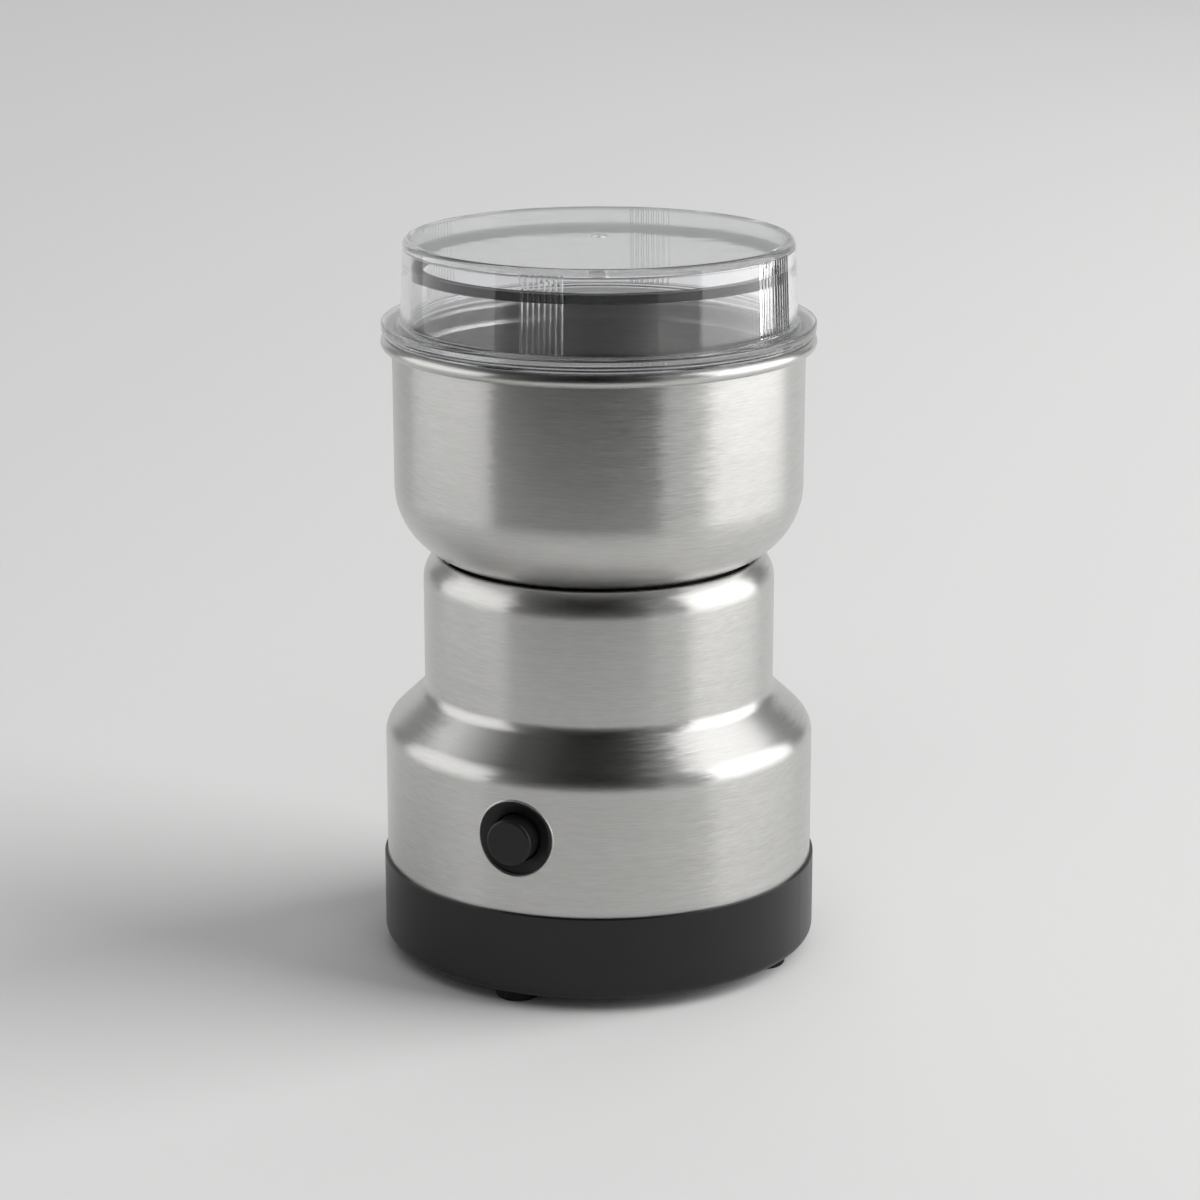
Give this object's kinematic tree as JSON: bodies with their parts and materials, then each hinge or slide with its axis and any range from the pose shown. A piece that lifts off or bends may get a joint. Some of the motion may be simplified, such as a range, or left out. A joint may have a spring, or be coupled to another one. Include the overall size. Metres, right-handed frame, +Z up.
{
  "type": "electric grinder",
  "caption": "Small electric grinder with a clear ribbed lid over a drawn steel bowl, on a waisted steel housing with a round push button and a black base pan on rubber feet.",
  "frame": {"origin": "on the table, on the grinder's axis, under the rubber feet", "axes": "+Z up along the motor's axis, -Y towards the side with the push button, +X to the right as the button is faced"},
  "size_m": [0.1, 0.1043, 0.166],
  "materials": {
    "housing_steel": "stainless steel brushed round the axis",
    "bowl_steel": "stainless steel brushed round the axis",
    "clear_plastic": "clear moulded styrene, polished",
    "ring_silicone": "black silicone, satin",
    "black_plastic": "moulded, fine matt",
    "button_plastic": "moulded, satin",
    "black_rubber": "moulded rubber, matt",
    "grey_nylon": "moulded nylon",
    "switch_plastic": "moulded phenolic",
    "block_nylon": "natural nylon",
    "zinc_screw": "zinc plated",
    "stainless_screw": "turned stainless steel",
    "spring_steel": "bright spring wire",
    "ground_steel": "ground steel",
    "blade_steel": "stamped stainless steel with ground edges",
    "lamination_steel": "stacked electrical sheet",
    "cast_aluminium": "die cast",
    "sintered_bronze": "sintered bronze",
    "enamelled_copper": "enamelled copper wire",
    "commutator_copper": "turned copper",
    "holder_brass": "folded brass",
    "carbon": "pressed carbon"
  },
  "bodies": {
    "root": {"base_pan": "black_plastic", "rubber_feet": "black_rubber", "base_screws": "zinc_screw", "cord_grommet": "black_rubber", "body_shell": "housing_steel", "bowl": "bowl_steel", "bowl_gasket": "black_rubber", "bowl_screws": "stainless_screw", "button_bezel": "button_plastic", "button_spring": "spring_steel", "switch_bracket": "grey_nylon", "bracket_screws": "zinc_screw", "switch_body": "switch_plastic", "switch_screws": "zinc_screw", "lower_bracket": "cast_aluminium", "upper_bracket": "cast_aluminium", "motor_screws": "zinc_screw", "lower_bearing": "sintered_bronze", "upper_bearing": "sintered_bronze", "stator_core": "lamination_steel", "field_coils": "enamelled_copper", "brush_holders": "holder_brass", "carbon_brushes": "carbon", "brush_springs": "spring_steel", "shaft_seal": "black_rubber", "terminal_block": "block_nylon", "terminal_screws": "zinc_screw"},
    "lid": {"lid_shell": "clear_plastic", "lid_ring": "ring_silicone"},
    "rotor": {"motor_shaft": "ground_steel", "armature_core": "lamination_steel", "armature_winding": "enamelled_copper", "commutator": "commutator_copper", "cooling_fan": "grey_nylon", "blade_collar": "ground_steel", "lower_blade": "blade_steel", "upper_blade": "blade_steel", "blade_washer": "stainless_screw", "blade_nut": "stainless_screw"},
    "button": {"push_button": "button_plastic"},
    "plunger": {"switch_plunger": "switch_plastic"}
  },
  "joints": [
    {"name": "lid_lift", "type": "slide", "parent": "root", "child": "lid", "axis": [0, 0, 1], "range_m": [0, 0.06]},
    {"name": "rotor_spin", "type": "hinge", "parent": "root", "child": "rotor", "pos_m": [0, 0, 0], "axis": [0, 0, 1], "continuous": true},
    {"name": "button_press", "type": "slide", "parent": "root", "child": "button", "axis": [0, 1, 0], "range_m": [0, 0.0028], "stiffness_N_per_m": 250, "springref_m": -0.004, "deforming": ["button_spring"]},
    {"name": "plunger_slide", "type": "slide", "parent": "root", "child": "plunger", "axis": [0, 1, 0], "range_m": [0, 0.0028]}
  ],
  "couplings": [
    {"joint": "plunger_slide", "follows": "button_press", "ratio": 1}
  ]
}
